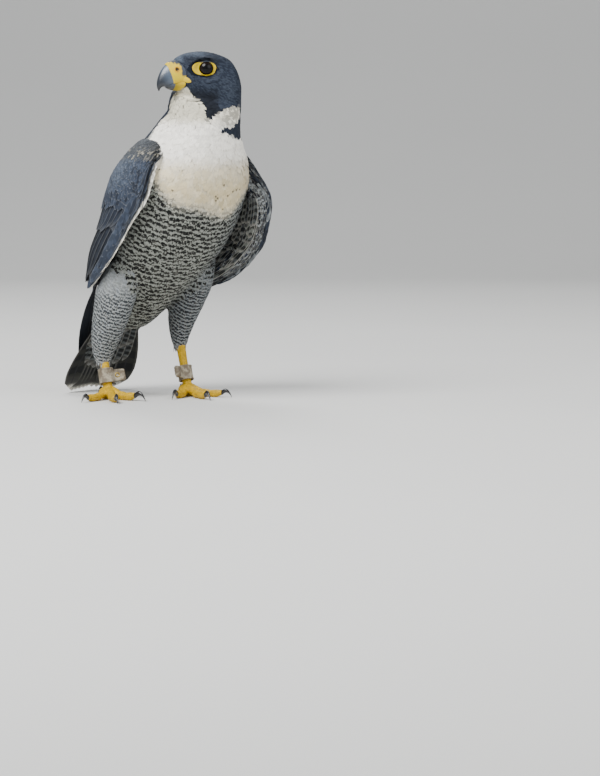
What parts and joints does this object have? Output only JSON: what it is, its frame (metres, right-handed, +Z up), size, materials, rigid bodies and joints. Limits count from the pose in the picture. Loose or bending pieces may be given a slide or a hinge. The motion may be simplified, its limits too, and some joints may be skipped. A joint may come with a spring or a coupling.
{
  "type": "peregrine falcon figure",
  "caption": "Life-size still falcon, standing upright on spread toes with folded wings and its head turned over one shoulder, wearing leather anklets.",
  "frame": {"origin": "on the floor, under the centre of the bounding box", "axes": "+Z up, the breast faces -Y, the bird's left side is +X"},
  "size_m": [0.1755, 0.224, 0.3474],
  "materials": {
    "leather": "worn, matt",
    "horn": "smooth horn, darker to the tip",
    "bare_skin": "scaly bare skin, yellow",
    "claw": "smooth, dark",
    "eye": "wet gloss",
    "plumage_dark": "matt, nearly black",
    "plumage_pale": "soft, matt",
    "plumage_slate": "matt vanes with pale edges",
    "plumage_barred": "soft, matt, barred"
  },
  "bodies": {
    "root": {"anklet_left": "leather", "anklet_right": "leather", "bill_lower": "horn", "bill_upper": "horn", "cere": "bare_skin", "claw_left_hind": "claw", "claw_left_inner": "claw", "claw_left_middle": "claw", "claw_left_outer": "claw", "claw_right_hind": "claw", "claw_right_inner": "claw", "claw_right_middle": "claw", "claw_right_outer": "claw", "eye_left": "eye", "eye_right": "eye", "gape": "bare_skin", "head": "plumage_dark", "lid_left": "bare_skin", "lid_right": "bare_skin", "neck": "plumage_pale", "primaries_left": "plumage_slate", "primaries_right": "plumage_slate", "tail": "plumage_dark", "tarsus_left": "bare_skin", "tarsus_right": "bare_skin", "thigh_left": "plumage_pale", "thigh_right": "plumage_pale", "toe_left_hind": "bare_skin", "toe_left_inner": "bare_skin", "toe_left_middle": "bare_skin", "toe_left_outer": "bare_skin", "toe_right_hind": "bare_skin", "toe_right_inner": "bare_skin", "toe_right_middle": "bare_skin", "toe_right_outer": "bare_skin", "torso": "plumage_barred", "wing_left": "plumage_slate", "wing_right": "plumage_slate"}
  },
  "joints": []
}
